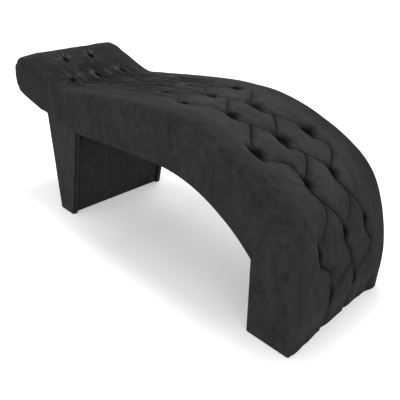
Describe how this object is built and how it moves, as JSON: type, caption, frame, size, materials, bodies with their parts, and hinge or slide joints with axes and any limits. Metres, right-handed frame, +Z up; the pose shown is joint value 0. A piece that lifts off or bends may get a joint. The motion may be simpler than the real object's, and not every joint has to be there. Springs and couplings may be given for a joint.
{
  "type": "upholstered treatment bed",
  "caption": "Wave-shaped upholstered treatment bed with a diamond-tufted top that curves down to the floor at the foot and a trapezoid leg under the raised head end.",
  "frame": {"origin": "on the floor under the middle of the bed's bounding box", "axes": "+X from the head end to the foot, +Y across the bed, +Z up"},
  "size_m": [1.823, 0.6, 0.76],
  "materials": {
    "suede": "matte charcoal micro-suede with a short mottled nap",
    "lining": "charcoal micro-suede stretched over thin board",
    "foam": "open-cell polyurethane foam",
    "plywood": "sanded birch plywood",
    "pine": "planed pine",
    "twine": "waxed tufting twine with a fibre washer",
    "bolt_steel": "zinc plated",
    "glide_plastic": "moulded black polypropylene"
  },
  "bodies": {
    "root": {"belly_panel": "lining", "cross_rail_1": "pine", "cross_rail_2": "pine", "cross_rail_3": "pine", "deck_panel": "plywood", "foam_slab": "foam", "foot_back_board": "lining", "foot_base_board": "plywood", "foot_glide_1": "glide_plastic", "foot_glide_2": "glide_plastic", "foot_glide_3": "glide_plastic", "foot_glide_4": "glide_plastic", "head_board": "plywood", "leg_bolt_1": "bolt_steel", "leg_bolt_2": "bolt_steel", "leg_bolt_3": "bolt_steel", "leg_bolt_4": "bolt_steel", "leg_bottom_board": "plywood", "leg_end_board_far": "plywood", "leg_end_board_near": "plywood", "leg_end_cover_far": "suede", "leg_end_cover_near": "suede", "leg_glide_1": "glide_plastic", "leg_glide_2": "glide_plastic", "leg_inner_board": "plywood", "leg_outer_board": "plywood", "leg_rail_foot_side": "pine", "leg_rail_head_side": "pine", "leg_top_plate": "plywood", "leg_wall_cover": "suede", "side_rib_far": "plywood", "side_rib_near": "plywood", "tuft_tie_01": "twine", "tuft_tie_02": "twine", "tuft_tie_03": "twine", "tuft_tie_04": "twine", "tuft_tie_05": "twine", "tuft_tie_06": "twine", "tuft_tie_07": "twine", "tuft_tie_08": "twine", "tuft_tie_09": "twine", "tuft_tie_10": "twine", "tuft_tie_11": "twine", "tuft_tie_12": "twine", "tuft_tie_13": "twine", "tuft_tie_14": "twine", "tuft_tie_15": "twine", "tuft_tie_16": "twine", "tuft_tie_17": "twine", "tuft_tie_18": "twine", "tuft_tie_19": "twine", "tuft_tie_20": "twine", "tuft_tie_21": "twine", "tuft_tie_22": "twine", "tuft_tie_23": "twine", "tuft_tie_24": "twine", "tuft_tie_25": "twine", "tuft_tie_26": "twine", "tuft_tie_27": "twine", "tufted_cover": "suede"}
  },
  "joints": []
}
